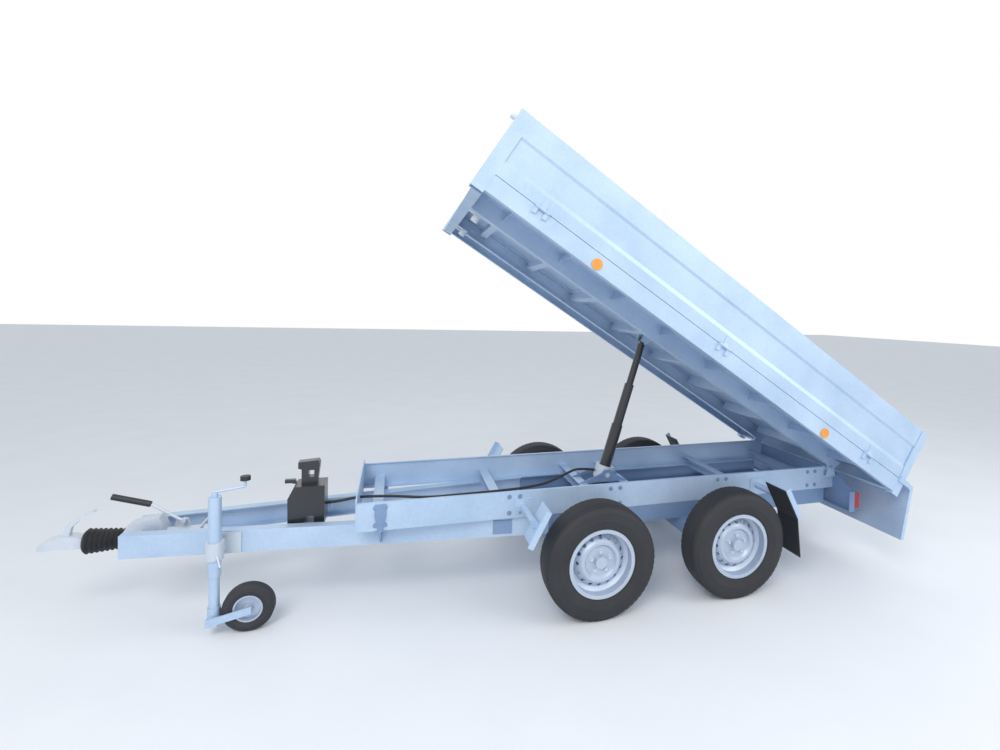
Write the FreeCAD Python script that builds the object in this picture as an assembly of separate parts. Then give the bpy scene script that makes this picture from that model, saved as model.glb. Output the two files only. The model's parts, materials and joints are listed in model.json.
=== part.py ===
import FreeCAD, Part

import math
import os

# Tandem-axle tipping trailer, in millimetres. +X forward, +Y left, +Z up, ground at Z = 0.
# The model is laid out from the ground midway between the axles and moved at the end so that
# the origin lies under the middle of the overall length.

middle_x = 731.6

# Wheels and axles
axle_spacing = 890.0
tyre_radius = 325.0
tyre_width = 188.0
tyre_wall = 12.0
track_half = 684.0
rim_flange_radius = 194.0
rim_half_width = 78.0
rim_wall = 5.0
vent_circle = 136.0
vent_radius = 11.0
vent_count = 16
drum_radius = 112.0
spindle_radius = 20.0
running_gap = 0.06
axle_tube_size = 90.0
arm_length = 165.0
axle_tube_z = 345.0

# Frame
rail_outer = 406.0
rail_web = 5.0
rail_lip = 18.0
rail_flange = 60.0
rail_bottom = 495.0
rail_top = 650.0
rail_front = 1738.0
rail_rear = -1472.0
beam_width = 60.0
beam_height = 120.0
beam_wall = 6.0
beam_front_x = 2900.0
beam_front_outer = 151.0
beam_rear_x = 660.0
beam_rear_outer = 399.6
subframe_height = 105.0
bulkhead_top = 682.0
bulkhead_wall = 6.0

# Bed, measured from its hinge: S forward along the bed, H up from the hinge
hinge_x = -1430.0
hinge_z = 634.0
hinge_pin_radius = 12.5
tip_angle = 32.2
bed_half_width = 840.0
bed_rear = -113.0
bed_front = 3075.0
channel_bottom = 17.0
channel_outer = 410.0
channel_rear = 20.0
channel_flange = 60.0
floor_top = 119.0
floor_wall = 4.0
side_rail_bottom = 36.0
side_rail_top = 128.0
side_rail_depth = 43.0
board_bottom = 131.0
board_top = 486.0
board_thickness = 25.0
sheet = 2.5
post_depth = 48.0
front_post_length = 73.0
rear_post_length = 57.0
cross_member_first = 76.0
cross_member_pitch = 402.0
cross_member_count = 8
board_hinge_pin = 5.0
board_hinge_out = 11.0
tailgate_gap = 2.0
tailgate_pivot_back = 35.5
tailgate_pivot_h = 126.0
tailgate_bottom = 126.0
tailgate_half_width = 836.0

# Telescopic cylinder
trunnion_x = 155.0
trunnion_z = 600.0
top_pin_s = 1584.0
top_pin_h = 60.0
barrel_radius = 48.0
ring_radius = 64.0
stage_radii = [39.0, 33.0, 24.5]
stage_wall = 3.5
gland_gap = 0.3
barrel_below = 350.0
barrel_above = 50.0
trunnion_radius = 16.0
cradle_inner = 72.0
eye_radius = 20.0
eye_half_width = 24.0

# Drawbar fittings
jockey_x = 2424.0
jockey_y = 310.0
jockey_trail = 160.0
jockey_wheel_radius = 123.0
jockey_wheel_width = 78.0
jockey_outer_radius = 30.0
jockey_inner_radius = 25.0
coupling_axis_z = 430.0
ball_x = 3250.0
ball_radius = 25.0
hose_radius = 8.0
seat_gap = 0.3

half = axle_spacing / 2
parts = {}


def vec(x, y, z):
    return FreeCAD.Vector(x, y, z)


def block(x0, x1, y0, y1, z0, z1):
    return Part.makeBox(x1 - x0, y1 - y0, z1 - z0, vec(x0, y0, z0))


def rod(start, direction, radius, length):
    return Part.makeCylinder(radius, length, vec(*start), vec(*direction))


def tube(start, direction, outer, inner, length):
    return rod(start, direction, outer, length).cut(rod(start, direction, inner, length))


def prism(points, sweep):
    face = Part.Face(Part.makePolygon(points + [points[0]]))
    return face.extrude(sweep)


def plate_xz(points, y0, y1):
    return prism([vec(x, y0, z) for x, z in points], vec(0, y1 - y0, 0))


def plate_yz(points, x0, x1):
    return prism([vec(x0, y, z) for y, z in points], vec(x1 - x0, 0, 0))


def plate_xy(points, z0, z1):
    return prism([vec(x, y, z0) for x, y in points], vec(0, 0, z1 - z0))


def fuse(first, *others):
    return first.multiFuse(list(others)).removeSplitter()


def mirrored(shape):
    return shape.mirror(vec(0, 0, 0), vec(0, 1, 0))


def both_sides(shape):
    return [shape, mirrored(shape)]


def turned(shape, x, z, degrees):
    """Turn about a cross axle at x, z; positive lifts what is ahead of it."""
    copy = shape.copy()
    copy.rotate(vec(x, 0, z), vec(0, -1, 0), degrees)
    return copy


def on_bed(shape):
    """Place a shape drawn from the hinge on the level bed, then tip it."""
    copy = shape.copy()
    copy.translate(vec(hinge_x, 0, hinge_z))
    return turned(copy, hinge_x, hinge_z, tip_angle)


def add(name, *solids):
    parts.setdefault(name, []).extend(solids)


def revolve_y(profile, centre):
    """Turn a closed radius-and-Y outline about the cross axis through centre."""
    points = [vec(centre[0], centre[1] + y, centre[2] + r) for r, y in profile]
    face = Part.Face(Part.makePolygon(points + [points[0]]))
    return face.revolve(vec(*centre), vec(0, 1, 0), 360)


# ---------------------------------------------------------------- wheels


def tyre(centre):
    w = tyre_width / 2
    t = tyre_wall
    r = tyre_radius
    bead = 178.3
    outer = [(bead, -71.5), (194.3, -71.5), (200, -84), (245, -w), (290, -w + 5), (r - 14, -76), (r - 3, -60), (r, -30)]
    inner = [(r - t, -58), (r - 30, -72), (245, -w + t), (200, -84 + t), (bead, -71.5 + t)]
    profile = outer + [(a, -b) for a, b in reversed(outer)]
    profile += [(a, -b) for a, b in reversed(inner)] + inner
    return revolve_y(profile, centre)


def wheel_rim(centre, side):
    """Steel rim with its disc, brake drum and cap; side is +1 where the outside faces +Y."""
    h = rim_half_width
    f = rim_flange_radius
    t = rim_wall
    seat = 178.0
    well = 152.0
    lip = [(f, -h), (f, -h + t), (seat, -h + t + 1), (seat, -45), (well, -26), (well, 6), (seat, 24)]
    lip += [(seat, h - t - 1), (f, h - t), (f, h), (seat - t, h), (seat - t, 27), (well - t, 9)]
    lip += [(well - t, -29), (seat - t, -48), (seat - t, -h)]
    disc = [(well - t + 1, 14), (128, 34), (112, 46), (96, 46), (84, 30), (30, 30), (30, 22), (86, 22)]
    disc += [(98, 38), (110, 38), (126, 27), (well - t + 1, 7)]
    shape = revolve_y([(r, side * y) for r, y in lip], centre)
    disc_shape = revolve_y([(r, side * y) for r, y in disc], centre)
    for k in range(vent_count):
        a = 2 * math.pi * k / vent_count
        at = (centre[0] + vent_circle * math.cos(a), centre[1], centre[2] + vent_circle * math.sin(a))
        disc_shape = disc_shape.cut(rod(at, (0, side, 0), vent_radius, 60))
    drum = rod((centre[0], centre[1] - side * 46, centre[2]), (0, side, 0), drum_radius, 68)
    hub = rod((centre[0], centre[1] + side * 20, centre[2]), (0, side, 0), 33, 40)
    shape = fuse(shape, disc_shape, drum, hub)
    bore = rod((centre[0], centre[1] - side * 47, centre[2]), (0, side, 0), spindle_radius + running_gap, 62)
    return shape.cut(bore)


def wheels():
    for end, x in (("front", half), ("rear", -half)):
        for name, side in (("left", 1), ("right", -1)):
            centre = (x, side * track_half, tyre_radius)
            add("tyre_%s_%s" % (end, name), tyre(centre))
            add("wheel_%s_%s" % (end, name), wheel_rim(centre, side))


def axles():
    """Rubber-sprung axle tubes with trailing arms, stub axles and brake backplates."""
    s = axle_tube_size / 2
    for x in (half, -half):
        tube_x = x + arm_length
        outer = block(tube_x - s, tube_x + s, seat_gap - 536, 536 - seat_gap, axle_tube_z - s, axle_tube_z + s)
        inner = block(tube_x - s + 6, tube_x + s - 6, -536, 536, axle_tube_z - s + 6, axle_tube_z + s - 6)
        add("axle_tubes", outer.cut(inner))
        arm = plate_xz(
            [(tube_x + 38, axle_tube_z + 38), (tube_x + 38, axle_tube_z - 38), (x - 30, tyre_radius - 34),
             (x - 30, tyre_radius + 34)], 536, 574)
        spindle = rod((x, 570, tyre_radius), (0, 1, 0), spindle_radius, track_half + 10 - 570)
        stub = rod((x, 570, tyre_radius), (0, 1, 0), 36, 50)
        backplate = rod((x, 620, tyre_radius), (0, 1, 0), drum_radius + 4, 8)
        inner_rod = block(tube_x - 30, tube_x + 30, 440, 540, axle_tube_z - 30, axle_tube_z + 30)
        add("suspension_arms", *both_sides(fuse(arm, spindle, stub, backplate, inner_rod)))


# ---------------------------------------------------------------- frame


def frame():
    o = rail_outer
    web = [(o, rail_bottom), (o, rail_top), (o - rail_lip, rail_top), (o - rail_lip, rail_top - rail_web),
           (o - rail_web, rail_top - rail_web), (o - rail_web, rail_bottom + rail_web),
           (o - rail_flange, rail_bottom + rail_web), (o - rail_flange, rail_bottom)]
    add("side_rails", *both_sides(plate_yz(web, rail_rear, rail_front)))

    half_wide = o + 2
    corner = 24.0
    front = [(-half_wide, rail_bottom + 5), (half_wide, rail_bottom + 5), (half_wide, bulkhead_top - corner),
             (half_wide - corner, bulkhead_top), (corner - half_wide, bulkhead_top),
             (-half_wide, bulkhead_top - corner)]
    panel = plate_yz(front, rail_front, rail_front + bulkhead_wall)
    hose_hole = rod((rail_front - 1, hose_route[2][1], hose_route[2][2]), (1, 0, 0), hose_radius + 6, 10)
    add("front_bulkhead", panel.cut(hose_hole))

    inside = o - rail_web
    for x in (rail_front - 130, 905.0, 300.0, 10.0, -760.0, -1400.0):
        channel = block(x, x + 60, -inside, inside, rail_bottom + rail_web, rail_bottom + rail_web + 56)
        hollow = block(x + 4, x + 61, -inside - 1, inside + 1, rail_bottom + rail_web + 4,
                       rail_bottom + rail_web + 52)
        add("frame_cross_members", channel.cut(hollow))


def beam_outer(x):
    """Outer face of the drawbar beam at a given x."""
    share = (x - beam_rear_x) / (beam_front_x - beam_rear_x)
    return beam_rear_outer + share * (beam_front_outer - beam_rear_outer)


def drawbar():
    top = rail_bottom
    outline = [(beam_rear_x, beam_rear_outer), (beam_front_x, beam_front_outer),
               (beam_front_x, beam_front_outer - beam_width), (beam_rear_x, beam_rear_outer - beam_width)]
    w = beam_wall
    core = [(beam_rear_x - 1, beam_rear_outer - w), (beam_front_x + 1, beam_front_outer - w),
            (beam_front_x + 1, beam_front_outer - beam_width - 1),
            (beam_rear_x - 1, beam_rear_outer - beam_width - 1)]
    solid = plate_xy(outline, top - beam_height, top)
    add("drawbar_beams", *both_sides(solid.cut(plate_xy(core, top - beam_height + w, top - w))))

    outer = rail_outer - 4
    low = top - subframe_height
    sub = block(-1400, beam_rear_x - 4, outer - beam_width, outer, low, top)
    sub = sub.cut(block(-1401, beam_rear_x, outer - beam_width - 1, outer - 5, low + 5, top - 5))
    add("subframe_beams", *both_sides(sub))

    strap_x = 1585.0
    strap = plate_xz([(strap_x, top + 145), (strap_x + 62, top + 145), (strap_x + 62, top + 80),
                      (strap_x + 46, top), (strap_x + 16, top), (strap_x, top + 80)],
                     rail_outer, rail_outer + 5)
    shelf = block(strap_x, strap_x + 62, beam_outer(strap_x) + 0.3, rail_outer + 5, top - 6, top)
    gusset = plate_yz([(rail_outer + 5, top), (rail_outer + 5, top - 40), (beam_outer(strap_x) + 0.3, top - 110),
                       (beam_outer(strap_x) + 0.3, top)], strap_x + 26, strap_x + 34)
    add("rail_brackets", *both_sides(fuse(strap, shelf, gusset)))

    joint_x = 880.0
    plate = prism([vec(joint_x, beam_outer(joint_x), top - 22), vec(joint_x + 110, beam_outer(joint_x + 110), top - 22),
                   vec(joint_x + 110, beam_outer(joint_x + 110), top - 102),
                   vec(joint_x, beam_outer(joint_x), top - 102)], vec(0, 6, 0))
    add("rail_brackets", *both_sides(plate))


def rear_bar():
    """Cross plate at the rear with wings that carry the lamps."""
    x = rail_rear
    wing = 600.0
    panel = plate_yz([(-wing, 390), (wing, 390), (wing, 520), (rail_outer, 622),
                      (-rail_outer, 622), (-wing, 520)],
                     x - 5, x)
    ends = [block(x - 5, x + 40, y, y + 5, 385, 525) for y in (wing, -wing - 5)]
    foot = block(x - 5, x + 30, -wing, wing, 385, 390)
    add("rear_bar", fuse(panel, foot, *ends))
    for side in (1, -1):
        y = side * (wing - 125)
        add("rear_lamps", block(x - 60, x - 5, y - 115, y + 115, 405, 505))


def splash_guards():
    """Inclined plates ahead of the front wheels and behind the rear ones, on tube arms."""
    top, low = (750.0 - half, 645.0), (850.0 - half, 458.0)
    slope = math.atan2(low[0] - top[0], top[1] - low[1])
    nx, nz = math.cos(slope), math.sin(slope)
    for sign, x0 in ((1, half), (-1, -half)):
        def at(p, out):
            return (x0 + sign * (p[0] + nx * out), p[1] + nz * out)

        face = plate_xz([at(top, 0), at(low, 0), at(low, 4), at(top, 4)], 590, 782)
        lip = plate_xz([at(top, 4), at(low, 4), at(low, 34), at(top, 34)], 778, 782)
        arm_at = (x0 + sign * (800.0 - half), 560.0)
        arm = rod((arm_at[0] + sign * 18, rail_outer + 6, arm_at[1]), (0, 1, 0), 19, 690 - rail_outer - 6)
        boss = block(min(arm_at[0] + sign * 8, arm_at[0] + sign * 36), max(arm_at[0] + sign * 8, arm_at[0] + sign * 36),
                     668, 690, arm_at[1] - 19, arm_at[1] + 19)
        flange = block(arm_at[0] + sign * 18 - 52, arm_at[0] + sign * 18 + 52, rail_outer, rail_outer + 6,
                       arm_at[1] - 46, arm_at[1] + 46)
        add("splash_guards", *both_sides(fuse(face, lip, arm, boss, flange)))
    x0 = -half
    sheet_out = -6.0
    flap = plate_xz([(x0 - top[0] - nx * sheet_out, top[1] + nz * sheet_out), (x0 - top[0], top[1]),
                     (x0 - low[0], low[1]), (x0 - low[0] - 30, 215), (x0 - low[0] - 24, 215),
                     (x0 - low[0] - nx * sheet_out, low[1] + nz * sheet_out)], 592, 780)
    add("mud_flaps", *both_sides(flap))


# ---------------------------------------------------------------- drawbar fittings


def coupling():
    z = coupling_axis_z
    head = plate_xz([(ball_x + 46, z - 22), (ball_x + 40, z + 10), (ball_x + 8, z + 30), (ball_x - 60, z + 44),
                     (ball_x - 100, z + 40), (ball_x - 150, z + 26), (ball_x - 150, z - 26),
                     (ball_x - 60, z - 22)], -34, 34)
    socket = Part.makeSphere(ball_radius + 0.4, vec(ball_x, 0, z - 4))
    mouth = rod((ball_x, 0, z - 4), (0, 0, -1), ball_radius + 0.4, 40)
    lever = plate_xz([(ball_x - 44, z + 38), (ball_x - 66, z + 96), (ball_x - 120, z + 140), (ball_x - 186, z + 166),
                      (ball_x - 194, z + 156), (ball_x - 126, z + 118), (ball_x - 92, z + 84),
                      (ball_x - 82, z + 38)], -15, 15)
    add("coupling_head", fuse(head, lever).cut(socket).cut(mouth))

    shaft_front = ball_x - 150
    folds = []
    front_x, back_x = shaft_front - 0.5, beam_front_x + 20
    count = 8
    step = (front_x - back_x) / count
    for k in range(count):
        x = front_x - k * step
        big = 66 - 1.8 * k
        folds += [vec(x, 0, z + big - 10), vec(x - step / 2, 0, z + big)]
    folds += [vec(back_x, 0, z + 42), vec(back_x, 0, z), vec(front_x, 0, z)]
    face = Part.Face(Part.makePolygon(folds + [folds[0]]))
    bellows = face.revolve(vec(0, 0, z), vec(1, 0, 0), 360)
    add("gaiter", bellows)

    housing = rod((2480, 0, z), (1, 0, 0), 38, back_x - 0.5 - 2480)
    casting = plate_xz([(back_x - 1, z - 50), (back_x - 1, z + 50), (2900, z + 84), (2760, z + 112), (2740, z + 60),
                        (2700, z - 50)], -42, 42)
    pieces = [housing, casting]
    for x in (2560.0, 2840.0):
        inner = beam_outer(x + 10) - beam_wall - seat_gap
        pieces.append(block(x, x + 10, -inner, inner, z - 46, z + 46))
    add("overrun_housing", fuse(*pieces))

    root = (2652.0, z + 75)
    bracket = plate_xz([(2620, z + 38.3), (2700, z + 38.3), (2690, z + 84), (2636, z + 84)], -4, 4)
    knee = (2800.0, z + 182)
    tip = (2974.0, z + 236)
    slope = math.hypot(knee[0] - root[0], knee[1] - root[1])
    bar = rod((root[0], 25, root[1]), (knee[0] - root[0], 0, knee[1] - root[1]), 8, slope)
    pivot = rod((root[0], -4, root[1]), (0, 1, 0), 12, 38)
    add("handbrake_lever", fuse(bar, pivot, bracket))
    along = vec(tip[0] - knee[0], 0, tip[1] - knee[1]).normalize()
    grip_length = math.hypot(tip[0] - knee[0], tip[1] - knee[1])
    grip = rod(vec(knee[0], 25, knee[1]) + along * 3, along, 16, grip_length)
    add("handbrake_grip", grip)


def jockey():
    x, y = jockey_x, jockey_y
    r = jockey_outer_radius
    back = beam_outer(x - 100)
    plate = plate_xy([(x - 100, back), (x + 6, beam_outer(x + 6)), (x + 6, back + 10), (x - 100, back + 10)], 380, 490)
    arm = block(x - 30, x + 5, back + 9, y - r - 4, 405, 470)
    clamp = tube((x, y, 395), (0, 0, 1), r + 12, r + 0.05, 90)
    tee = rod((x - 20, y + r + 4, 420), (-0.35, 0.45, -0.82), 5, 60)
    add("jockey_clamp", fuse(plate, arm, clamp, tee))

    outer = tube((x, y, 305), (0, 0, 1), r, jockey_inner_radius + 0.3, 408)
    cap = rod((x, y, 705), (0, 0, 1), r, 12)
    neck = rod((x, y, 717), (0, 0, 1), 13, 22)
    crank = rod((x, y, 742), (-1, 0, 0.14), 6, 138)
    post = rod((x - 137, y, 760), (0, 0, 1), 6, 34)
    add("jockey_tube", fuse(outer, cap, neck, crank, post))
    knob = rod((x - 137, y, 794), (0, 0, 1), 24, 22)
    add("jockey_knob", knob)

    inner = rod((x, y, 100), (0, 0, 1), jockey_inner_radius, 500)
    add("jockey_leg", inner)

    wheel_x = x - jockey_trail
    wheel_z = jockey_wheel_radius
    cheek = jockey_wheel_width / 2 + 6
    fork = []
    for side in (1, -1):
        fork.append(plate_xz([(x + 27, 60), (x + 27, 98), (wheel_x - 20, wheel_z + 20), (wheel_x - 20, wheel_z - 20)],
                             y + side * cheek - (0 if side > 0 else 6), y + side * cheek + (6 if side > 0 else 0)))
    fork.append(block(x - 27, x + 27, y - cheek - 6, y + cheek + 6, 60, 98))
    fork.append(tube((x, y, 98), (0, 0, 1), 30, jockey_inner_radius + 0.05, 46))
    fork.append(rod((wheel_x, y - cheek - 3, wheel_z), (0, 1, 0), 9, 2 * cheek + 6))
    add("jockey_fork", fuse(*fork))

    w = jockey_wheel_width / 2
    r = jockey_wheel_radius
    outline = [(70, -w + 8), (92, -w), (110, -w + 4), (r, -w + 18)]
    outline += [(a, -b) for a, b in reversed(outline)]
    centre = (wheel_x, y, wheel_z)
    add("jockey_tyre", revolve_y(outline, centre))
    rim = [(69.7, -w + 8), (69.7, w - 8), (62, w - 8), (56, 10), (24, 10), (24, w - 2), (9.06, w - 2)]
    rim += [(9.06, -w + 2), (24, -w + 2), (24, -10), (56, -10), (62, -w + 8)]
    add("jockey_rim", revolve_y(rim, centre))


def pump():
    """Hand pump with its oil tank, on a shelf between the drawbar beams."""
    x0, x1 = 1925.0, 2115.0
    base = rail_bottom - 24
    inner = beam_outer(x1) - beam_wall - seat_gap
    add("rail_brackets", block(x0, x1, -inner, inner, base - 8, base))
    body = plate_xz([(x0, base), (x1, base), (x1 + 2, base + 150), (x1 - 30, base + 216), (x0, base + 216)], -10, 150)
    gap = block(x0 + 55, x0 + 110, -11, 151, base - 1, base + 46)
    add("pump_tank", body.cut(gap))
    top = base + 216
    head = plate_xz([(x0 + 44, top), (x0 + 128, top), (x0 + 128, top + 86), (x0 + 146, top + 92), (x0 + 146, top + 128),
                     (x0 + 40, top + 136), (x0 + 32, top + 116)], 44, 104)
    slot = block(x0 + 62, x0 + 92, 40, 110, top + 40, top + 80)
    hook = plate_xz([(x1 - 34, top - 1), (x1 - 28, top + 24), (x1 + 26, top + 26), (x1 + 26, top + 6), (x1 - 4, top + 6)],
                    60, 88)
    add("pump_head", head.cut(slot), hook.translated(vec(0, 0, 1)))


hose_route = [
    (1924.5, 70.0, 560.0),
    (1850.0, 74.0, 566.0),
    (1741.0, 92.0, 588.0),
    (1560.0, 130.0, 590.0),
    (1360.0, 152.0, 570.0),
    (1160.0, 150.0, 572.0),
    (960.0, 138.0, 570.0),
    (760.0, 124.0, 572.0),
    (600.0, 96.0, 580.0),
    (470.0, 52.0, 612.0),
    (370.0, 24.0, 640.0),
    (290.0, 10.0, 632.0),
]


def hose():
    """Hydraulic hose: straight runs joined by large tangent arcs."""
    end = cylinder_port()
    points = [vec(*p) for p in hose_route] + [end]
    edges = []
    start = points[0]
    radii = []
    for a, b, c in zip(points, points[1:], points[2:]):
        into, out = (b - a).normalize(), (c - b).normalize()
        turn = into.getAngle(out)
        reach = 0.45 * min((b - a).Length, (c - b).Length)
        radii.append(round(reach / math.tan(turn / 2)))
        first, last = b - into * reach, b + out * reach
        bisector = (out - into).normalize()
        radius = reach / math.tan(turn / 2)
        middle = b + bisector * (radius / math.cos(turn / 2) - radius)
        edges.append(Part.LineSegment(start, first).toShape())
        edges.append(Part.Arc(first, middle, last).toShape())
        start = last
    edges.append(Part.LineSegment(start, points[-1]).toShape())
    path = Part.Wire(edges)
    direction = points[1] - points[0]
    profile = Part.Wire(Part.makeCircle(hose_radius, points[0], direction))
    solid = path.makePipeShell([profile], True, False)
    print("hose arc radii", radii)
    print("hose length", round(path.Length), "volume ratio",
          round(solid.Volume / (math.pi * hose_radius ** 2 * path.Length), 4))
    add("hydraulic_hose", solid)


# ---------------------------------------------------------------- cylinder


def top_pin(angle):
    """Place of the bed's cylinder pin with the bed tipped by an angle."""
    a = math.radians(angle)
    return (hinge_x + top_pin_s * math.cos(a) - top_pin_h * math.sin(a),
            hinge_z + top_pin_s * math.sin(a) + top_pin_h * math.cos(a))


def reach(angle):
    """Length and lean, rearward from upright, of the line from the trunnion to the top pin."""
    x, z = top_pin(angle)
    return math.hypot(x - trunnion_x, z - trunnion_z), math.degrees(math.atan2(trunnion_x - x, z - trunnion_z))


def cylinder_port():
    lean = math.radians(reach(tip_angle)[1])
    out = ring_radius + 6
    return vec(trunnion_x + out * math.cos(lean), 0, trunnion_z + out * math.sin(lean) + 0.0)


def cylinder():
    rest_length, lean = reach(tip_angle)
    low_length, low_lean = reach(0)
    step = (rest_length - low_length) / 3
    print("cylinder", [round(v, 4) for v in (rest_length, lean, low_length, low_lean, step)])
    x, z = trunnion_x, trunnion_z

    def placed(shape, out=0.0):
        copy = shape.copy()
        copy.translate(vec(x, 0, z + out))
        return turned(copy, x, z, lean)

    r0 = stage_radii[0]
    barrel = tube((0, 0, -barrel_below), (0, 0, 1), barrel_radius, r0 + 2.5, barrel_below + barrel_above)
    foot = rod((0, 0, -barrel_below - 12), (0, 0, 1), barrel_radius, 12)
    gland = tube((0, 0, barrel_above - 30), (0, 0, 1), r0 + 3, r0 + gland_gap, 30)
    add("cylinder_barrel", placed(fuse(barrel, foot, gland)))
    ring = tube((0, 0, -40), (0, 0, 1), ring_radius, barrel_radius + 0.05, 90)
    stubs = [rod((0, side * (barrel_radius + 6), 0), (0, side, 0), trunnion_radius, cradle_inner + 14 - barrel_radius - 6)
             for side in (1, -1)]
    add("cylinder_ring", placed(fuse(ring, *stubs)))

    for k, radius in enumerate(stage_radii):
        low = -barrel_below + 10 * (k + 1)
        high = barrel_above + 4 + 4 * k
        out = step * (k + 1)
        if k + 1 < len(stage_radii):
            nxt = stage_radii[k + 1]
            body = tube((0, 0, low), (0, 0, 1), radius, nxt + 1.5, high - low)
            lip = tube((0, 0, high - 25), (0, 0, 1), radius, nxt + gland_gap, 25)
            shape = fuse(body, lip)
        else:
            body = rod((0, 0, low), (0, 0, 1), radius, high - low)
            neck = rod((0, 0, high - 2), (0, 0, 1), 15, low_length - high)
            eye = rod((0, -eye_half_width, low_length), (0, 1, 0), eye_radius, 2 * eye_half_width)
            shape = fuse(body, neck, eye)
        add("cylinder_stage_%d" % (k + 1), placed(shape, out))

    floor = rail_bottom + rail_web + 56
    cheek = plate_xz([(10, floor), (360, floor), (x + 46, z + 12), (x + 22, z + 36), (x - 22, z + 36), (x - 46, z + 12)],
                     cradle_inner, cradle_inner + 12)
    hole = rod((x, cradle_inner - 1, z), (0, 1, 0), trunnion_radius + running_gap, 14)
    add("cylinder_cradle", *both_sides(cheek.cut(hole)))


# ---------------------------------------------------------------- bed


def hollow_board(points, s0, s1, flip=1):
    """Closed sheet board of constant section along the bed; points are (y, h)."""
    wire = Part.makePolygon([vec(s0, y, h) for y, h in points + [points[0]]])
    inner = wire.makeOffset2D(-sheet, 2)
    core = Part.Face(inner).extrude(vec(s1 - s0 - 2 * sheet, 0, 0))
    core.translate(vec(sheet, 0, 0))
    return Part.Face(wire).extrude(vec(s1 - s0, 0, 0)).cut(core)


def board_section(outer, thickness):
    """Ribbed section: wide top band, recessed middle, bottom band."""
    total = board_top - board_bottom
    recess = 9.0
    marks = [0.19, 0.26, 0.63, 0.67]
    heights = [board_bottom + total * m for m in marks]
    return [(outer, board_bottom), (outer, heights[0]), (outer - recess, heights[1]), (outer - recess, heights[2]),
            (outer, heights[3]), (outer, board_top), (outer - thickness, board_top), (outer - thickness, board_bottom)]


def hinge_stations():
    span = bed_front - bed_rear
    return [bed_rear + span * share for share in (0.1, 0.505, 0.91)]


def side_boards():
    axis_y = bed_half_width + board_hinge_out
    axis_h = board_bottom - 2
    board = hollow_board(board_section(bed_half_width, board_thickness), bed_rear + 2, bed_front - 2)
    pieces = [board]
    rail_side = []
    for s in hinge_stations():
        barrel = rod((s - 20, axis_y, axis_h), (1, 0, 0), 9, 40)
        strap = block(s - 16, s + 16, bed_half_width, bed_half_width + 4, board_bottom + 2, board_bottom + 62)
        web = plate_yz([(bed_half_width + 0.5, board_bottom + 2), (axis_y + 7, axis_h + 4), (bed_half_width + 4,
                       board_bottom + 22), (bed_half_width + 0.5, board_bottom + 22)], s - 16, s + 16)
        knuckle = fuse(barrel, web, strap)
        pieces.append(knuckle)
        for a, b in ((s - 42, s - 20.5), (s + 20.5, s + 42)):
            eye = rod((a, axis_y, axis_h), (1, 0, 0), 9, b - a)
            leg = block(a, b, bed_half_width, axis_y, axis_h - 40, axis_h)
            rail_side.append(fuse(eye, leg))
    left = pieces[0].multiFuse(pieces[1:])
    pins = []
    for k, s in enumerate(hinge_stations()):
        left = left.cut(rod((s - 21, axis_y, axis_h), (1, 0, 0), board_hinge_pin + running_gap, 42))
        pin = rod((s - 42, axis_y, axis_h), (1, 0, 0), board_hinge_pin, 84)
        pins.append(fuse(rail_side[2 * k], rail_side[2 * k + 1], pin))
    add("left_side_board", on_bed(left))
    add("right_side_board", on_bed(mirrored(left)))
    for pin in pins:
        add("board_hinges", *[on_bed(p) for p in both_sides(pin)])


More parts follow.
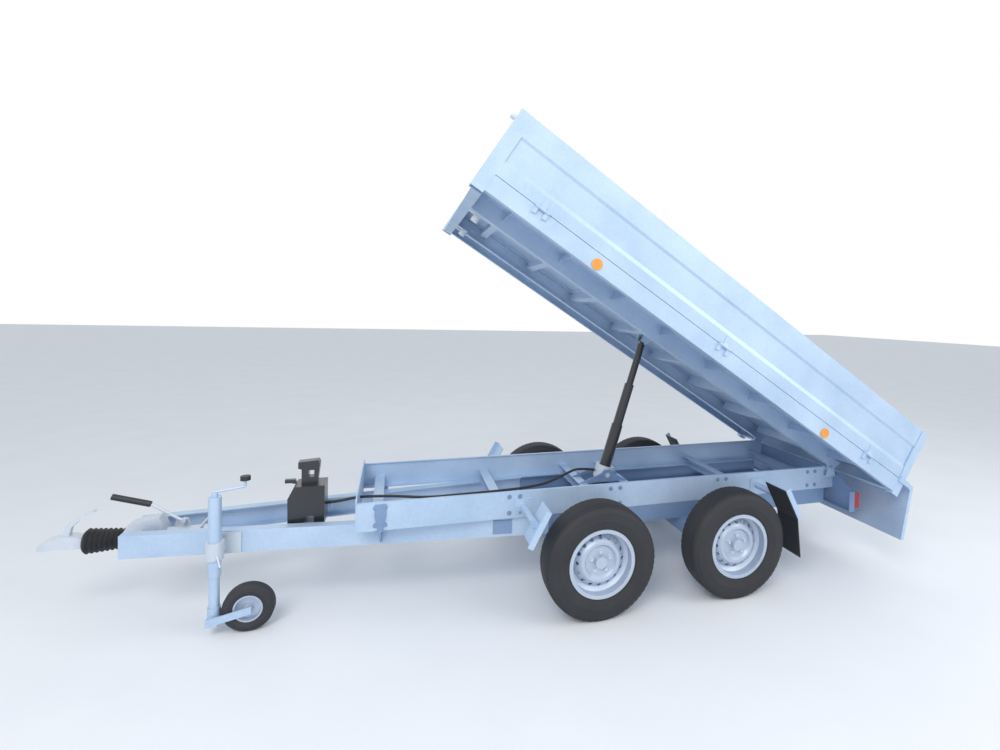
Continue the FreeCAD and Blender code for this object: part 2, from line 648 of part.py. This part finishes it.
def bed():
    b = bed_half_width
    under = floor_top - floor_wall
    o = channel_outer
    f = channel_flange
    section = [(o, channel_bottom), (o, under), (o - f, under), (o - f, under - 4), (o - 4, under - 4),
               (o - 4, channel_bottom + 4), (o - f, channel_bottom + 4), (o - f, channel_bottom)]
    channel = plate_yz(section, channel_rear, bed_front)
    lug = plate_xz([(-26, 4), (26, 4), (60, 80), (-60, 80)], o, o + 12)
    lug = fuse(lug, rod((0, o, 0), (0, 1, 0), 24, 12))
    lug = lug.cut(rod((0, o - 1, 0), (0, 1, 0), hinge_pin_radius + running_gap, 14))
    add("bed_channels", *[on_bed(p) for p in both_sides(fuse(channel, lug))])

    for k in range(cross_member_count):
        s = cross_member_first + k * cross_member_pitch
        hat = [(s - 60, under), (s - 60, under - 3), (s - 32, under - 3), (s - 22, under - 52), (s + 22, under - 52),
               (s + 32, under - 3), (s + 60, under - 3), (s + 60, under), (s + 30, under), (s + 19, under - 49),
               (s - 19, under - 49), (s - 30, under)]
        add("bed_cross_members", on_bed(plate_xz(hat, f - o, o - f)))
        wing = [(o, under), (o, under - 52), (b - side_rail_depth, under - 40), (b - side_rail_depth, under)]
        for side in both_sides(plate_yz(wing, s - 4, s)):
            add("bed_outriggers", on_bed(side))

    d = side_rail_depth
    add("bed_floor", on_bed(block(bed_rear, bed_front, -(b - 3), b - 3, under, floor_top)))
    low, high = side_rail_bottom, side_rail_top
    rail = [(b, low), (b, high), (b - d, high), (b - d, floor_top), (b - 3, floor_top), (b - 3, under), (b - 3, low + 3),
            (b - d, low + 3), (b - d, low)]
    add("bed_side_rails", *[on_bed(p) for p in both_sides(plate_yz(rail, bed_rear, bed_front))])

    p = post_depth
    front_beam = block(bed_front, bed_front + 60, -(b - p), b - p, channel_bottom, floor_top)
    front_beam = front_beam.cut(block(bed_front - 1, bed_front + 56, -(b - p) - 1, b - p + 1, channel_bottom + 4, floor_top - 4))
    rear_beam = block(bed_rear - rear_post_length, bed_rear, -(b - p), b - p, side_rail_bottom, floor_top)
    rear_beam = rear_beam.cut(block(bed_rear - rear_post_length + 4, bed_rear + 1, -(b - p) - 1, b - p + 1,
                                    side_rail_bottom + 4, floor_top - 4))
    add("bed_end_beams", on_bed(front_beam), on_bed(rear_beam))

    for s0, s1 in ((bed_front, bed_front + front_post_length), (bed_rear - rear_post_length, bed_rear)):
        post = block(s0, s1, b - p, b + 2, side_rail_bottom - 17, board_top)
        post = post.cut(block(s0 + 4, s1 - 4, b - p + 4, b - 2, side_rail_bottom - 18, board_top - 4))
        add("corner_posts", *[on_bed(q) for q in both_sides(post)])

    head = block(bed_front + 35, bed_front + 60, -(b - p), b - p, floor_top, board_top)
    head = head.cut(block(bed_front + 35 + sheet, bed_front + 60 - sheet, -(b - p) + sheet, b - p - sheet,
                          floor_top + sheet, board_top - sheet))
    add("headboard", on_bed(head))

    t = 12.0
    cross = block(top_pin_s - 80, top_pin_s + 36, f - o, o - f, under - 14, under)
    ears = []
    for side in (1, -1):
        y0 = side * (eye_half_width + 6)
        ear = plate_xz([(top_pin_s - 60, under), (top_pin_s + 36, under), (top_pin_s + 24, top_pin_h - 20),
                        (top_pin_s - 24, top_pin_h - 20)], min(y0, y0 + side * t), max(y0, y0 + side * t))
        ears.append(ear)
    return cross, ears


def bed_fittings():
    b = bed_half_width
    for s in (586.0, 2393.0):
        disc = rod((s, b, 72), (0, 1, 0), 30, 6)
        add("side_reflectors", *[on_bed(p) for p in both_sides(disc)])
    marker = rod((bed_front + front_post_length, b - 28, board_top - 34), (1, 0, 0), 30, 26)
    add("front_markers", *[on_bed(p) for p in both_sides(marker)])
    roller = rod((3020, 318, channel_bottom - 34), (0, 0, 1), 22, 40)
    plate = block(2996, bed_front + 30, 298, 340, channel_bottom + 4 + seat_gap, channel_bottom + 10)
    add("guide_rollers", *[on_bed(p) for p in both_sides(fuse(roller, plate))])


# ---------------------------------------------------------------- tailgate


def tailgate():
    s1 = bed_rear - rear_post_length - tailgate_gap
    s0 = s1 - board_thickness
    w = tailgate_half_width
    panel = block(s0, s1, -w, w, tailgate_bottom, board_top)
    panel = panel.cut(block(s0 + sheet, s1 - sheet, -w + sheet, w - sheet, tailgate_bottom + sheet, board_top - sheet))
    pivot_s = (s0 + s1) / 2 - tailgate_pivot_back
    pieces = [panel]
    for side in (1, -1):
        a, c = sorted((side * (w - 34), side * w))
        lug = plate_xz([(s0 + 1, tailgate_bottom), (s0 + 1, tailgate_pivot_h + 30), (pivot_s - 13, tailgate_pivot_h + 10),
                        (pivot_s - 13, tailgate_pivot_h - 14)], a, c)
        pieces.append(lug)
    gate = pieces[0].multiFuse(pieces[1:])
    gate = gate.cut(rod((pivot_s, -w - 1, tailgate_pivot_h), (0, 1, 0), 9 + running_gap, 2 * w + 2)
                    .cut(block(pivot_s - 20, pivot_s + 20, -w + 36, w - 36, 0, 400)))
    gate = gate.Solids[0]
    centre = gate.CenterOfMass
    ahead, above = centre.x - pivot_s, centre.z - tailgate_pivot_h
    swing = 180 + math.degrees(math.atan2(ahead, above)) - tip_angle
    print("tailgate pivot", round(pivot_s, 3), "opened by", round(swing, 4))
    add("tailgate", on_bed(turned(gate, pivot_s, tailgate_pivot_h, swing)))

    for side in (1, -1):
        y0 = side * (w + 0.5)
        cheek = plate_xz([(pivot_s - 14, tailgate_pivot_h - 16), (bed_rear - 6, tailgate_pivot_h - 16),
                          (bed_rear - 6, tailgate_pivot_h + 22), (pivot_s - 14, tailgate_pivot_h + 12)],
                         min(side * (bed_half_width + 2), side * (bed_half_width + 10)),
                         max(side * (bed_half_width + 2), side * (bed_half_width + 10)))
        pin = rod((pivot_s, side * (w - 30), tailgate_pivot_h), (0, side, 0), 9, bed_half_width + 10 - w + 30)
        add("tailgate_pivots", on_bed(fuse(cheek, pin)))


# ---------------------------------------------------------------- bed hinge on the frame


def hinge_brackets():
    o = channel_outer + 12
    outer = plate_xz([(hinge_x - 40, hinge_z - 44), (hinge_x + 40, hinge_z - 44), (hinge_x + 18, hinge_z + 18),
                      (hinge_x - 18, hinge_z + 18)], o + 2, o + 12)
    base = block(hinge_x - 40, hinge_x + 40, rail_outer, o + 12, hinge_z - 54, hinge_z - 42)
    pin = rod((hinge_x, rail_outer - 1, hinge_z), (0, 1, 0), hinge_pin_radius, o + 18 - rail_outer + 1)
    add("bed_hinge_brackets", *both_sides(fuse(outer, base, pin).cut(block(hinge_x - 60, hinge_x + 60, 0, rail_outer, 0, 900))))


def write():
    os.makedirs("parts", exist_ok=True)
    lowest = [1e9] * 3
    highest = [-1e9] * 3
    for name, solids in parts.items():
        shape = Part.makeCompound(solids) if len(solids) > 1 else solids[0]
        shape = shape.copy()
        shape.translate(vec(-middle_x, 0, 0))
        shape.exportStep("parts/%s.step" % name)
        box = shape.BoundBox
        lowest = [min(a, v) for a, v in zip(lowest, (box.XMin, box.YMin, box.ZMin))]
        highest = [max(a, v) for a, v in zip(highest, (box.XMax, box.YMax, box.ZMax))]
        count = len(shape.Solids)
        print("%-24s %2d solids %s %10.0f mm3" % (name, count, "ok" if shape.isValid() else "BAD", shape.Volume))
    print("box", [round(v, 1) for v in lowest], [round(v, 1) for v in highest])


wheels()
axles()
frame()
drawbar()
rear_bar()
splash_guards()
coupling()
jockey()
pump()
hose()
cylinder()
cross, ears = bed()
add("cylinder_top_bracket", on_bed(fuse(cross, *ears)))
bed_fittings()
side_boards()
tailgate()
hinge_brackets()
write()
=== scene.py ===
import json
import math

import bmesh
import bpy
from mathutils import Matrix, Vector

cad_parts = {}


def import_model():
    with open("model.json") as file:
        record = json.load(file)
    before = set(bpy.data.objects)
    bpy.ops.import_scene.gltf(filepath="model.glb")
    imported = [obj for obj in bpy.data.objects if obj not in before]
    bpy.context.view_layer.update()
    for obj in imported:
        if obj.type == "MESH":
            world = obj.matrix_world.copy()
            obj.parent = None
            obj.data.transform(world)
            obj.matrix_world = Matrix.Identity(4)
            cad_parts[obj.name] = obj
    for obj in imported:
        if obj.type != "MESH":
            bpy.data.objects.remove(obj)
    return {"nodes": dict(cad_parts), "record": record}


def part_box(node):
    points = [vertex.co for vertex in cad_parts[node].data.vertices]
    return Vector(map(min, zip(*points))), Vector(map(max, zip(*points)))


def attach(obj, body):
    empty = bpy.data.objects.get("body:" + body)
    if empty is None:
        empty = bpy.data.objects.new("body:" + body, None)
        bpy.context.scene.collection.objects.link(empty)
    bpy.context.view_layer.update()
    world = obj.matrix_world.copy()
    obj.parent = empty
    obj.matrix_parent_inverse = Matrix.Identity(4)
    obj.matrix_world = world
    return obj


bl_info = {
    "name": "Tipper trailer looks",
    "version": (1, 0, 0),
    "blender": (4, 5, 0),
    "location": "View3D > Sidebar > Trailer",
    "description": "Finishes, fastenings and stage for a tipping trailer",
    "category": "Object",
}

WHEELS = ("front_left", "front_right", "rear_left", "rear_right")
LAST = {}


class Maths:
    """A socket whose arithmetic adds nodes."""

    def __init__(self, tree, socket):
        self.tree = tree
        self.socket = socket

    def _join(self, operation, a, b):
        node = self.tree.nodes.new("ShaderNodeMath")
        node.operation = operation
        for slot, value in zip(node.inputs, (a, b)):
            if isinstance(value, Maths):
                self.tree.links.new(value.socket, slot)
            else:
                slot.default_value = value
        return Maths(self.tree, node.outputs[0])

    def __add__(self, other):
        return self._join("ADD", self, other)

    def __radd__(self, other):
        return self._join("ADD", other, self)

    def __sub__(self, other):
        return self._join("SUBTRACT", self, other)

    def __rsub__(self, other):
        return self._join("SUBTRACT", other, self)

    def __mul__(self, other):
        return self._join("MULTIPLY", self, other)

    def __rmul__(self, other):
        return self._join("MULTIPLY", other, self)


class Finish:
    """One procedural material."""

    def __init__(self, name):
        self.material = bpy.data.materials.new(name)
        self.material.use_nodes = True
        self.tree = self.material.node_tree
        self.shader = self.tree.nodes["Principled BSDF"]
        self.place = self.node("ShaderNodeTexCoord").outputs["Object"]

    def node(self, kind, settings=None, values=None):
        node = self.tree.nodes.new(kind)
        for key, value in (settings or {}).items():
            setattr(node, key, value)
        for key, value in (values or {}).items():
            if isinstance(value, Maths):
                self.tree.links.new(value.socket, node.inputs[key])
            elif isinstance(value, bpy.types.NodeSocket):
                self.tree.links.new(value, node.inputs[key])
            else:
                node.inputs[key].default_value = value
        return node

    def noise(self, scale, detail=3.0):
        made = self.node("ShaderNodeTexNoise", values={"Vector": self.place, "Scale": scale, "Detail": detail})
        return Maths(self.tree, made.outputs[0])

    def tint(self, mask, low, high):
        made = self.node("ShaderNodeMix", {"data_type": "RGBA"})
        self.tree.links.new(mask.socket, made.inputs[0])
        made.inputs[6].default_value = (*low, 1)
        made.inputs[7].default_value = (*high, 1)
        self.tree.links.new(made.outputs[2], self.shader.inputs["Base Color"])

    def bump(self, height, strength, distance):
        made = self.node("ShaderNodeBump", values={"Height": height, "Strength": strength, "Distance": distance})
        self.tree.links.new(made.outputs[0], self.shader.inputs["Normal"])

    def rough(self, value):
        self.tree.links.new(value.socket, self.shader.inputs["Roughness"])


def zinc(name, low, high, metallic=0.35):
    """Dipped zinc coat: cloudy tone, fine spangle and slight ripple."""
    finish = Finish(name)
    clouds = finish.noise(3.5, 4.0)
    spangle = finish.noise(70.0, 2.0)
    finish.tint(clouds * 0.75 + spangle * 0.3, low, high)
    finish.rough(0.36 + clouds * 0.22)
    finish.bump(spangle * 0.6 + finish.noise(9.0), 0.18, 0.002)
    finish.shader.inputs["Metallic"].default_value = metallic
    return finish.material


def plain(name, low, high, grain, roughness, bump=0.15, coat=0.0):
    """Paint, rubber or moulding with a grain and slight wear."""
    finish = Finish(name)
    fine = finish.noise(grain, 4.0)
    broad = finish.noise(5.0, 3.0)
    finish.tint(broad * 0.7 + fine * 0.3, low, high)
    finish.rough(roughness + fine * 0.2)
    finish.bump(fine, bump, 0.001)
    finish.shader.inputs["Coat Weight"].default_value = coat
    return finish.material


def finishes():
    return {
        "galvanised": zinc("galvanised", (0.30, 0.43, 0.62), (0.62, 0.75, 0.90)),
        # galvanised_dark is the galvanised zinc again with painted shade: a darker copy of the same finish standing in
        # for shadow
        "galvanised_dark": zinc("galvanised_dark", (0.12, 0.20, 0.36), (0.30, 0.42, 0.62)),
        "light_casting": zinc("light_casting", (0.42, 0.48, 0.56), (0.72, 0.77, 0.82), 0.3),
        "rim_silver": zinc("rim_silver", (0.36, 0.43, 0.55), (0.60, 0.67, 0.77), 0.45),
        "tyre_black": plain("tyre_black", (0.012, 0.013, 0.016), (0.035, 0.037, 0.042), 160.0, 0.62, 0.3),
        "jockey_rubber": plain("jockey_rubber", (0.014, 0.015, 0.018), (0.04, 0.042, 0.05), 160.0, 0.6, 0.3),
        "black_rubber": plain("black_rubber", (0.010, 0.011, 0.013), (0.03, 0.032, 0.036), 200.0, 0.5, 0.2),
        "black_paint": plain("black_paint", (0.008, 0.009, 0.012), (0.03, 0.033, 0.04), 90.0, 0.25, 0.1, 0.3),
        "black_plastic": plain("black_plastic", (0.010, 0.011, 0.014), (0.03, 0.032, 0.036), 240.0, 0.4, 0.15),
        "amber_plastic": plain("amber_plastic", (0.70, 0.20, 0.02), (0.95, 0.42, 0.06), 220.0, 0.18, 0.2, 0.5),
        "red_plastic": plain("red_plastic", (0.36, 0.02, 0.02), (0.62, 0.05, 0.04), 220.0, 0.18, 0.2, 0.5),
        "white_plastic": plain("white_plastic", (0.62, 0.66, 0.70), (0.85, 0.88, 0.90), 180.0, 0.22, 0.1, 0.4),
    }


def new_object(name, mesh):
    made = bpy.data.objects.new(name, mesh)
    bpy.context.scene.collection.objects.link(made)
    return made


def settle(piece, body, slot):
    """Give a finished piece its material, body and slot."""
    piece.data.materials.clear()
    piece.data.materials.append(LAST["finishes"][slot])
    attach(piece, body)
    return piece


def stud_mesh(radius, height):
    """A hexagonal nut with a chamfered top on a round washer, standing on +Z."""
    mesh = bpy.data.meshes.new("stud")
    bm = bmesh.new()
    for sides, r, z0, z1, top in ((20, radius * 1.35, 0.0, height * 0.2, 1.0), (6, radius, height * 0.2, height, 0.86)):
        rings = []
        for z, share in ((z0, 1.0), (z0 + (z1 - z0) * 0.8, 1.0), (z1, top)):
            rings.append([bm.verts.new((r * share * math.cos(2 * math.pi * k / sides),
                                        r * share * math.sin(2 * math.pi * k / sides), z)) for k in range(sides)])
        for a, b in zip(rings, rings[1:]):
            for k in range(sides):
                bm.faces.new((a[k], a[(k + 1) % sides], b[(k + 1) % sides], b[k]))
        bm.faces.new(rings[-1])
        bm.faces.new(list(reversed(rings[0])))
    bm.to_mesh(mesh)
    bm.free()
    return mesh


def scatter(name, points, normal, radius, height, body, slot):
    """Studs instanced on given points by Geometry Nodes, then made into plain mesh."""
    stud = new_object(name + "_one", stud_mesh(radius, height))
    mesh = bpy.data.meshes.new(name + "_points")
    mesh.from_pydata([tuple(p) for p in points], [], [])
    holder = new_object(name + "_points", mesh)
    tree = bpy.data.node_groups.new(name, "GeometryNodeTree")
    tree.interface.new_socket("Geometry", in_out="INPUT", socket_type="NodeSocketGeometry")
    stud_socket = tree.interface.new_socket("Stud", in_out="INPUT", socket_type="NodeSocketObject")
    turn_socket = tree.interface.new_socket("Turn", in_out="INPUT", socket_type="NodeSocketVector")
    coat_socket = tree.interface.new_socket("Finish", in_out="INPUT", socket_type="NodeSocketMaterial")
    tree.interface.new_socket("Geometry", in_out="OUTPUT", socket_type="NodeSocketGeometry")
    start, end = tree.nodes.new("NodeGroupInput"), tree.nodes.new("NodeGroupOutput")
    info = tree.nodes.new("GeometryNodeObjectInfo")
    spread = tree.nodes.new("GeometryNodeInstanceOnPoints")
    turn = tree.nodes.new("FunctionNodeEulerToRotation")
    real = tree.nodes.new("GeometryNodeRealizeInstances")
    coat = tree.nodes.new("GeometryNodeSetMaterial")
    links = tree.links
    links.new(start.outputs["Geometry"], spread.inputs["Points"])
    links.new(start.outputs["Stud"], info.inputs["Object"])
    links.new(info.outputs["Geometry"], spread.inputs["Instance"])
    links.new(start.outputs["Turn"], turn.inputs[0])
    links.new(turn.outputs[0], spread.inputs["Rotation"])
    links.new(spread.outputs[0], real.inputs[0])
    links.new(real.outputs[0], coat.inputs["Geometry"])
    links.new(start.outputs["Finish"], coat.inputs["Material"])
    links.new(coat.outputs[0], end.inputs[0])
    modifier = holder.modifiers.new(name, "NODES")
    modifier.node_group = tree
    modifier[stud_socket.identifier] = stud
    modifier[turn_socket.identifier] = Vector(normal).to_track_quat("Z", "Y").to_euler()
    modifier[coat_socket.identifier] = LAST["finishes"][slot]
    bpy.context.view_layer.update()
    done = bpy.data.meshes.new_from_object(holder.evaluated_get(bpy.context.evaluated_depsgraph_get()))
    bpy.data.objects.remove(holder)
    bpy.data.objects.remove(stud)
    return settle(new_object(name, done), body, slot)


def middle(node):
    low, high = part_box(node)
    return (Vector(low) + Vector(high)) / 2


def add_wheel_nuts(settings):
    for name in WHEELS:
        low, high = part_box("wheel_" + name)
        centre = middle("wheel_" + name)
        side = 1 if centre.y > 0 else -1
        face = centre.y + side * settings.nut_seat
        points = []
        for k in range(5):
            angle = 2 * math.pi * k / 5 + 0.3
            points.append((centre.x + settings.nut_circle * math.cos(angle), face,
                           centre.z + settings.nut_circle * math.sin(angle)))
        scatter("wheel_nuts_" + name, points, (0, side, 0), 0.0105, 0.018, name + "_wheel", "light_casting")


def add_rail_bolts(settings):
    low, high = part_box("side_rails")
    for label, side in (("left", 1), ("right", -1)):
        points = []
        for share in (0.05, 0.07, 0.28, 0.30, 0.52, 0.54, 0.72, 0.74, 0.955, 0.97):
            for z in (low[2] + 0.03, high[2] - 0.03):
                points.append((low[0] + (high[0] - low[0]) * share, high[1] if side > 0 else low[1], z))
        # the bolts take galvanised_dark, the galvanised zinc with painted shade
        scatter("rail_bolts_" + label, points, (0, side, 0), settings.bolt_size, 0.007, "chassis", "galvanised_dark")


def add_tread(settings):
    """Block tread standing just proud of each tyre's crown."""
    for name in WHEELS:
        centre = middle("tyre_" + name)
        low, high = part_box("tyre_" + name)
        crown = (high[2] - low[2]) / 2
        mesh = bpy.data.meshes.new("tread_" + name)
        bm = bmesh.new()
        rows = (-0.058, -0.036, -0.012, 0.012, 0.036, 0.058)
        for row, y in enumerate(rows):
            drop = 0.004 if abs(y) > 0.05 else 0.0006
            for k in range(settings.tread_blocks):
                start = 2 * math.pi * (k + 0.5 * (row % 2)) / settings.tread_blocks
                stop = start + 2 * math.pi * 0.78 / settings.tread_blocks
                ring = []
                for radius in (crown - 0.012, crown - drop):
                    for angle in (start, stop):
                        for across in (y - 0.010, y + 0.010):
                            ring.append(bm.verts.new((centre.x + radius * math.cos(angle), centre.y + across,
                                                      centre.z + radius * math.sin(angle))))
                for quad in ((0, 1, 3, 2), (4, 6, 7, 5), (0, 4, 5, 1), (2, 3, 7, 6), (0, 2, 6, 4), (1, 5, 7, 3)):
                    bm.faces.new([ring[i] for i in quad])
        bmesh.ops.recalc_face_normals(bm, faces=bm.faces)
        bm.to_mesh(mesh)
        bm.free()
        settle(new_object("tread_" + name, mesh), name + "_wheel", "tyre_black")


def coat_frame():
    slots = {row["node"]: row["material_slot"] for row in frame["record"]["subparts"]}
    for node, made in frame["nodes"].items():
        made.data.materials.clear()
        made.data.materials.append(LAST["finishes"][slots[node]])


def set_stage(settings):
    """Pale floor and backdrop, soft lights and the camera."""
    scene = bpy.context.scene
    scene.view_settings.view_transform = "Standard"
    mesh = bpy.data.meshes.new("floor")
    size = 40.0
    mesh.from_pydata([(-size, -size, 0), (size, -size, 0), (size, size, 0), (-size, size, 0)], [], [(0, 1, 2, 3)])
    floor = new_object("floor", mesh)
    finish = Finish("floor")
    finish.tint(finish.noise(2.0), (0.80, 0.81, 0.83), (0.86, 0.87, 0.88))
    finish.shader.inputs["Roughness"].default_value = 0.9
    mesh.materials.append(finish.material)

    world = bpy.data.worlds.new("studio")
    scene.world = world
    world.use_nodes = True
    tree = world.node_tree
    soft = tree.nodes["Background"]
    soft.inputs[0].default_value = (0.86, 0.92, 1.0, 1)
    soft.inputs[1].default_value = settings.sky_level
    white = tree.nodes.new("ShaderNodeBackground")
    white.inputs[0].default_value = (1, 1, 1, 1)
    rays = tree.nodes.new("ShaderNodeLightPath")
    seen = Maths(tree, rays.outputs["Is Camera Ray"]) + Maths(tree, rays.outputs["Is Glossy Ray"])
    seen = seen + Maths(tree, rays.outputs["Is Transmission Ray"])
    mix = tree.nodes.new("ShaderNodeMixShader")
    tree.links.new(seen.socket, mix.inputs[0])
    tree.links.new(soft.outputs[0], mix.inputs[1])
    tree.links.new(white.outputs[0], mix.inputs[2])
    tree.links.new(mix.outputs[0], tree.nodes["World Output"].inputs[0])

    for name, place, size, power in (("key", (3.0, 5.5, 5.5), 3.5, settings.key_power),
                                     ("fill", (-5.0, 4.0, 4.0), 4.0, settings.key_power * 0.5)):
        lamp = bpy.data.lights.new(name, "AREA")
        lamp.size = size
        lamp.energy = power
        made = bpy.data.objects.new(name, lamp)
        scene.collection.objects.link(made)
        made.location = place
        aim = Vector((0, 0, 1.0)) - Vector(place)
        made.rotation_euler = aim.to_track_quat("-Z", "Y").to_euler()

    yaw, pitch, roll = (math.radians(v) for v in (18.26, 1.44, 1.48))
    ahead = Vector((-math.sin(yaw) * math.cos(pitch), -math.cos(yaw) * math.cos(pitch), -math.sin(pitch)))
    level = Vector((-math.cos(yaw), math.sin(yaw), 0))
    upright = level.cross(ahead)
    right = level * math.cos(roll) + upright * math.sin(roll)
    up = upright * math.cos(roll) - level * math.sin(roll)
    lens = bpy.data.cameras.new("camera")
    lens.sensor_width = 36.0
    lens.lens = 19.43
    lens.shift_x = settings.shift_x
    lens.shift_y = settings.shift_y
    camera = bpy.data.objects.new("camera", lens)
    scene.collection.objects.link(camera)
    turn = Matrix((right, up, -ahead)).transposed().to_4x4()
    camera.matrix_world = Matrix.Translation((0.8223, 3.5013, 1.7203)) @ turn
    scene.camera = camera


class TrailerSettings(bpy.types.PropertyGroup):
    nut_circle: bpy.props.FloatProperty(name="Nut circle", default=0.056)
    nut_seat: bpy.props.FloatProperty(name="Nut seat", default=0.030)
    bolt_size: bpy.props.FloatProperty(name="Bolt size", default=0.010)
    tread_blocks: bpy.props.IntProperty(name="Tread blocks", default=60)
    sky_level: bpy.props.FloatProperty(name="Sky level", default=0.75)
    key_power: bpy.props.FloatProperty(name="Key power", default=260.0)
    shift_x: bpy.props.FloatProperty(name="Shift across", default=-0.0739)
    shift_y: bpy.props.FloatProperty(name="Shift up", default=-0.0501)


class TRAILER_OT_coat(bpy.types.Operator):
    """Coat the frame, bed and running gear"""
    bl_idname = "trailer.coat"
    bl_label = "Coat"

    def execute(self, context):
        LAST["finishes"] = finishes()
        coat_frame()
        return {"FINISHED"}


class TRAILER_OT_wheels(bpy.types.Operator):
    """Add tread and wheel nuts"""
    bl_idname = "trailer.wheels"
    bl_label = "Wheels"

    def execute(self, context):
        add_tread(context.scene.trailer)
        add_wheel_nuts(context.scene.trailer)
        return {"FINISHED"}


class TRAILER_OT_bolts(bpy.types.Operator):
    """Add the frame bolts"""
    bl_idname = "trailer.bolts"
    bl_label = "Bolts"

    def execute(self, context):
        add_rail_bolts(context.scene.trailer)
        return {"FINISHED"}


class TRAILER_OT_stage(bpy.types.Operator):
    """Add the floor, lights and camera"""
    bl_idname = "trailer.stage"
    bl_label = "Stage"

    def execute(self, context):
        set_stage(context.scene.trailer)
        return {"FINISHED"}


class TRAILER_PT_panel(bpy.types.Panel):
    bl_label = "Trailer"
    bl_space_type = "VIEW_3D"
    bl_region_type = "UI"
    bl_category = "Trailer"

    def draw(self, context):
        for step in STEPS:
            self.layout.operator(step.bl_idname)


STEPS = (TRAILER_OT_coat, TRAILER_OT_wheels, TRAILER_OT_bolts, TRAILER_OT_stage)
CLASSES = (TrailerSettings, *STEPS, TRAILER_PT_panel)


def register():
    for made in CLASSES:
        bpy.utils.register_class(made)
    bpy.types.Scene.trailer = bpy.props.PointerProperty(type=TrailerSettings)


def unregister():
    del bpy.types.Scene.trailer
    for made in reversed(CLASSES):
        bpy.utils.unregister_class(made)


def main():
    register()
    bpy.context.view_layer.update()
    bpy.ops.trailer.coat()
    bpy.ops.trailer.wheels()
    bpy.ops.trailer.bolts()
    bpy.ops.trailer.stage()


if __name__ == "__main__":
    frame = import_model()
    main()
